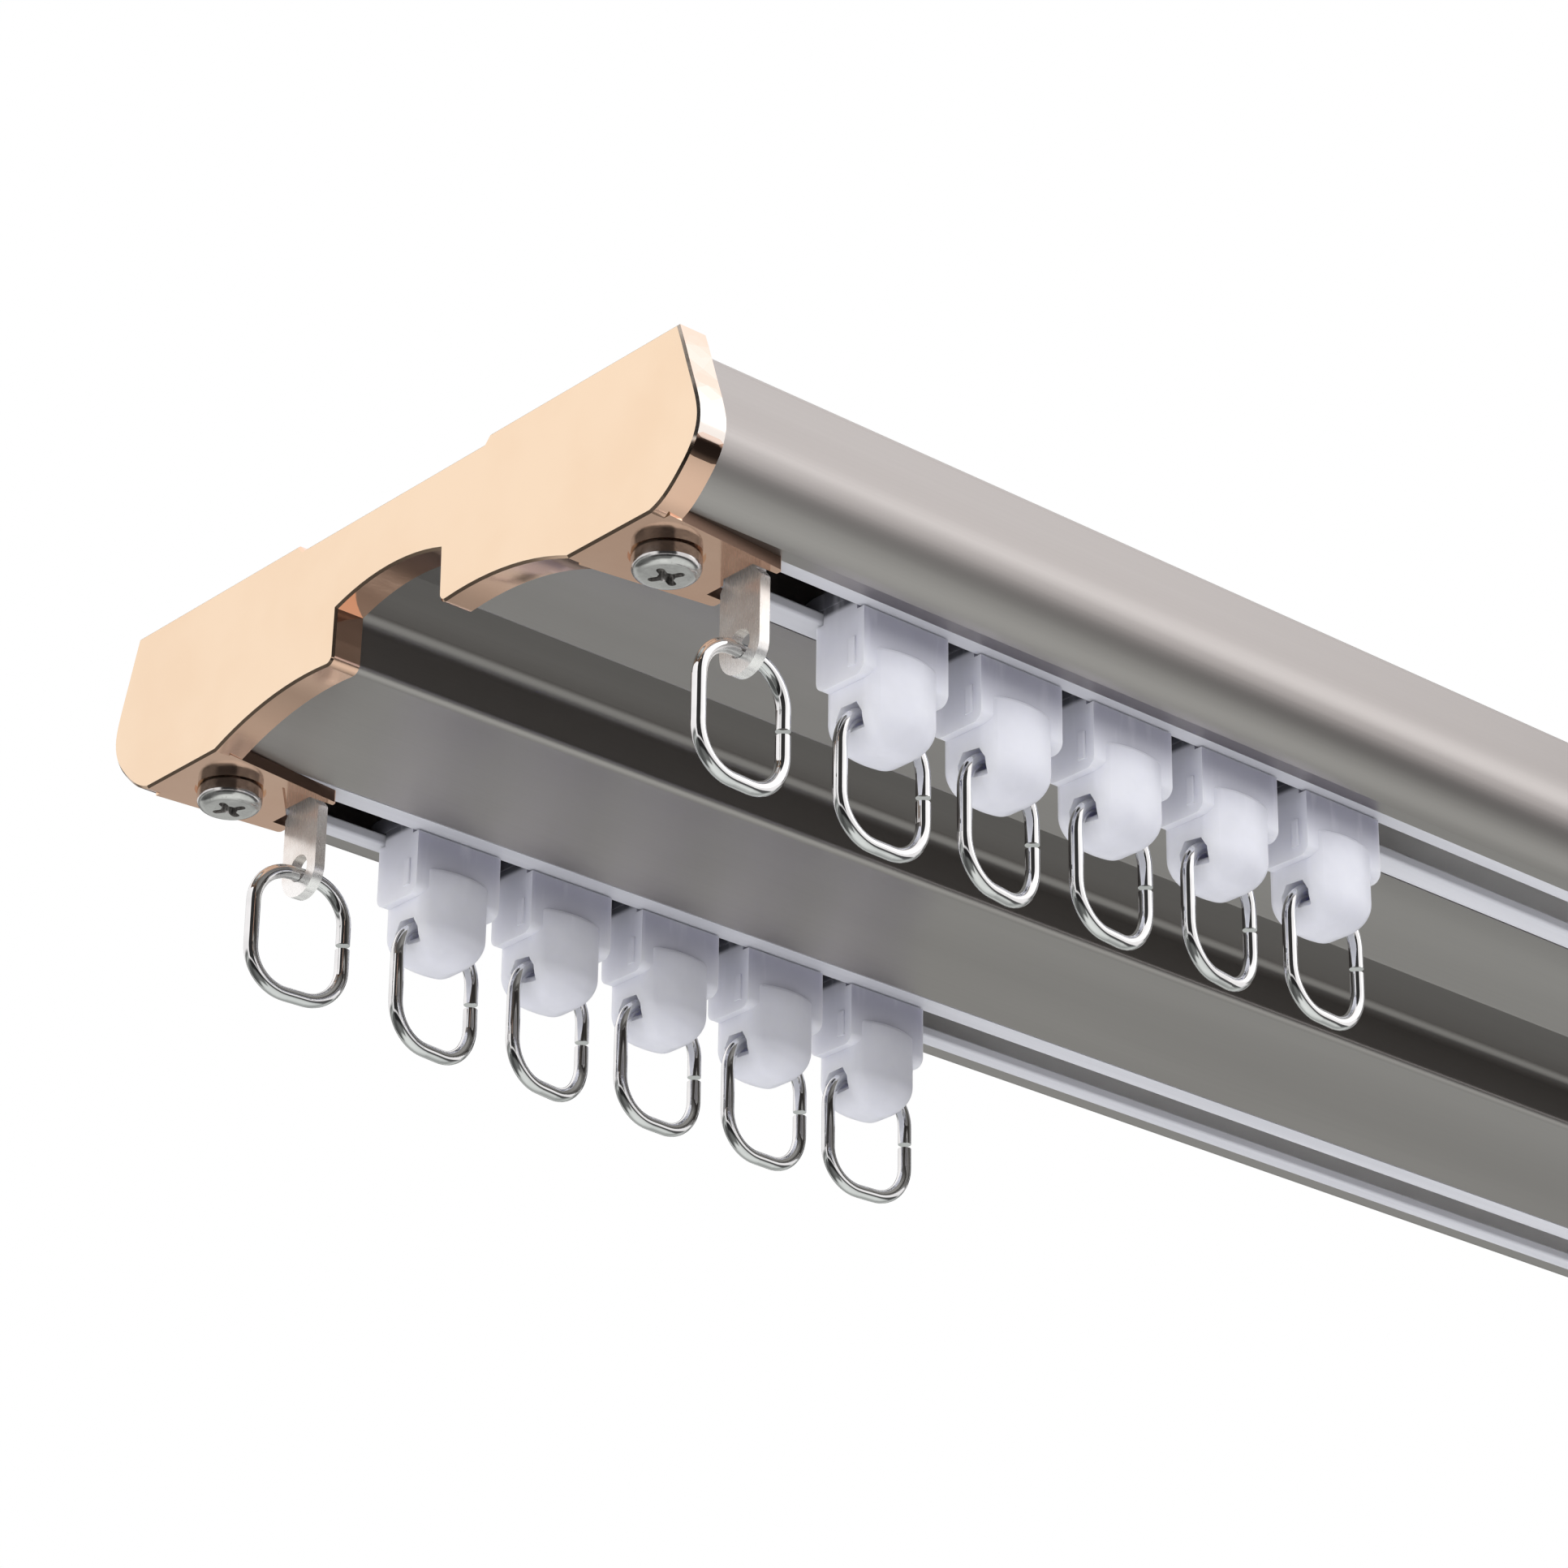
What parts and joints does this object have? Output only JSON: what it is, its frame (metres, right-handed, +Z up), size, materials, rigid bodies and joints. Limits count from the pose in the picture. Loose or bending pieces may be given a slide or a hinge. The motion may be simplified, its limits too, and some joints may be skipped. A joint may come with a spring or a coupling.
{
  "type": "curtain track",
  "caption": "Ceiling curtain track: hollow aluminium rail with slotted glider channels, polished end caps, sliding gliders and hanging wire rings.",
  "frame": {"origin": "middle of the floor of the shallow recess along the rail's top, where the ceiling clips seat, half way along the track", "axes": "+X along the track, from the end where the gliders are parked to the other end; +Y across it, from the near channel to the far channel; +Z up, towards the ceiling"},
  "size_m": [0.5, 0.1074, 0.0466],
  "materials": {
    "rail": "satin champagne-grey anodised",
    "glide_strips": "smooth off-white nylon",
    "end_caps": "polished rose-gold plating",
    "cap_screws": "bright nickel plating",
    "eye_plates": "warm nickel plating",
    "rings": "polished",
    "gliders": "translucent white nylon"
  },
  "bodies": {
    "track": {"rail": "rail", "near_outer_glide_strip": "glide_strips", "near_inner_glide_strip": "glide_strips", "far_outer_glide_strip": "glide_strips", "far_inner_glide_strip": "glide_strips", "end_cap_left": "end_caps", "end_cap_right": "end_caps", "near_left_cap_screw": "cap_screws", "near_left_eye_plate": "eye_plates", "near_right_cap_screw": "cap_screws", "near_right_eye_plate": "eye_plates", "far_left_cap_screw": "cap_screws", "far_left_eye_plate": "eye_plates", "far_right_cap_screw": "cap_screws", "far_right_eye_plate": "eye_plates"},
    "near_glider_1": {"near_glider_1": "gliders"},
    "near_glider_ring_1": {"near_glider_ring_1": "rings"},
    "near_glider_2": {"near_glider_2": "gliders"},
    "near_glider_ring_2": {"near_glider_ring_2": "rings"},
    "near_glider_3": {"near_glider_3": "gliders"},
    "near_glider_ring_3": {"near_glider_ring_3": "rings"},
    "near_glider_4": {"near_glider_4": "gliders"},
    "near_glider_ring_4": {"near_glider_ring_4": "rings"},
    "near_glider_5": {"near_glider_5": "gliders"},
    "near_glider_ring_5": {"near_glider_ring_5": "rings"},
    "near_left_end_ring": {"near_left_end_ring": "rings"},
    "near_right_end_ring": {"near_right_end_ring": "rings"},
    "far_glider_1": {"far_glider_1": "gliders"},
    "far_glider_ring_1": {"far_glider_ring_1": "rings"},
    "far_glider_2": {"far_glider_2": "gliders"},
    "far_glider_ring_2": {"far_glider_ring_2": "rings"},
    "far_glider_3": {"far_glider_3": "gliders"},
    "far_glider_ring_3": {"far_glider_ring_3": "rings"},
    "far_glider_4": {"far_glider_4": "gliders"},
    "far_glider_ring_4": {"far_glider_ring_4": "rings"},
    "far_glider_5": {"far_glider_5": "gliders"},
    "far_glider_ring_5": {"far_glider_ring_5": "rings"},
    "far_left_end_ring": {"far_left_end_ring": "rings"},
    "far_right_end_ring": {"far_right_end_ring": "rings"}
  },
  "joints": [
    {"name": "near_glider_1_slide", "type": "slide", "parent": "track", "child": "near_glider_1", "axis": [1, 0, 0], "range_m": [0, 0.0712]},
    {"name": "near_glider_ring_1_swing", "type": "hinge", "parent": "near_glider_1", "child": "near_glider_ring_1", "pos_m": [-0.21145, -0.0398, -0.0294], "axis": [0.9994, 0.0349, 0], "range_deg": [-30, 30]},
    {"name": "near_glider_2_slide", "type": "slide", "parent": "near_glider_1", "child": "near_glider_2", "axis": [1, 0, 0], "range_m": [0, 0.0712]},
    {"name": "near_glider_ring_2_swing", "type": "hinge", "parent": "near_glider_2", "child": "near_glider_ring_2", "pos_m": [-0.194, -0.0398, -0.0294], "axis": [0.9848, 0.1736, 0], "range_deg": [-30, 30]},
    {"name": "near_glider_3_slide", "type": "slide", "parent": "near_glider_2", "child": "near_glider_3", "axis": [1, 0, 0], "range_m": [0, 0.0712]},
    {"name": "near_glider_ring_3_swing", "type": "hinge", "parent": "near_glider_3", "child": "near_glider_ring_3", "pos_m": [-0.17655, -0.0398, -0.0294], "axis": [0.9925, 0.1219, 0], "range_deg": [-30, 30]},
    {"name": "near_glider_4_slide", "type": "slide", "parent": "near_glider_3", "child": "near_glider_4", "axis": [1, 0, 0], "range_m": [0, 0.0712]},
    {"name": "near_glider_ring_4_swing", "type": "hinge", "parent": "near_glider_4", "child": "near_glider_ring_4", "pos_m": [-0.1591, -0.0398, -0.0294], "axis": [0.9848, 0.1736, 0], "range_deg": [-30, 30]},
    {"name": "near_glider_5_slide", "type": "slide", "parent": "near_glider_4", "child": "near_glider_5", "axis": [1, 0, 0], "range_m": [0, 0.0712]},
    {"name": "near_glider_ring_5_swing", "type": "hinge", "parent": "near_glider_5", "child": "near_glider_ring_5", "pos_m": [-0.14165, -0.0398, -0.0294], "axis": [0.9962, 0.0872, 0], "range_deg": [-30, 30]},
    {"name": "near_left_end_ring_swing", "type": "hinge", "parent": "track", "child": "near_left_end_ring", "pos_m": [-0.23165, -0.0398, -0.0279], "axis": [0.9976, 0.0698, 0], "range_deg": [-75, 75]},
    {"name": "near_right_end_ring_swing", "type": "hinge", "parent": "track", "child": "near_right_end_ring", "pos_m": [0.23165, -0.0398, -0.0279], "axis": [0.9976, 0.0698, 0], "range_deg": [-75, 75]},
    {"name": "far_glider_1_slide", "type": "slide", "parent": "track", "child": "far_glider_1", "axis": [1, 0, 0], "range_m": [0, 0.0712]},
    {"name": "far_glider_ring_1_swing", "type": "hinge", "parent": "far_glider_1", "child": "far_glider_ring_1", "pos_m": [-0.21145, 0.0398, -0.0294], "axis": [0.9903, 0.1392, 0], "range_deg": [-30, 30]},
    {"name": "far_glider_2_slide", "type": "slide", "parent": "far_glider_1", "child": "far_glider_2", "axis": [1, 0, 0], "range_m": [0, 0.0712]},
    {"name": "far_glider_ring_2_swing", "type": "hinge", "parent": "far_glider_2", "child": "far_glider_ring_2", "pos_m": [-0.194, 0.0398, -0.0294], "axis": [0.9848, 0.1736, 0], "range_deg": [-30, 30]},
    {"name": "far_glider_3_slide", "type": "slide", "parent": "far_glider_2", "child": "far_glider_3", "axis": [1, 0, 0], "range_m": [0, 0.0712]},
    {"name": "far_glider_ring_3_swing", "type": "hinge", "parent": "far_glider_3", "child": "far_glider_ring_3", "pos_m": [-0.17655, 0.0398, -0.0294], "axis": [0.9976, 0.0698, 0], "range_deg": [-30, 30]},
    {"name": "far_glider_4_slide", "type": "slide", "parent": "far_glider_3", "child": "far_glider_4", "axis": [1, 0, 0], "range_m": [0, 0.0712]},
    {"name": "far_glider_ring_4_swing", "type": "hinge", "parent": "far_glider_4", "child": "far_glider_ring_4", "pos_m": [-0.1591, 0.0398, -0.0294], "axis": [0.9986, 0.0523, 0], "range_deg": [-30, 30]},
    {"name": "far_glider_5_slide", "type": "slide", "parent": "far_glider_4", "child": "far_glider_5", "axis": [1, 0, 0], "range_m": [0, 0.0712]},
    {"name": "far_glider_ring_5_swing", "type": "hinge", "parent": "far_glider_5", "child": "far_glider_ring_5", "pos_m": [-0.14165, 0.0398, -0.0294], "axis": [0.9986, -0.0523, 0], "range_deg": [-30, 30]},
    {"name": "far_left_end_ring_swing", "type": "hinge", "parent": "track", "child": "far_left_end_ring", "pos_m": [-0.23165, 0.0398, -0.0279], "axis": [0.9986, -0.0523, 0], "range_deg": [-75, 75]},
    {"name": "far_right_end_ring_swing", "type": "hinge", "parent": "track", "child": "far_right_end_ring", "pos_m": [0.23165, 0.0398, -0.0279], "axis": [0.9986, -0.0523, 0], "range_deg": [-75, 75]}
  ]
}
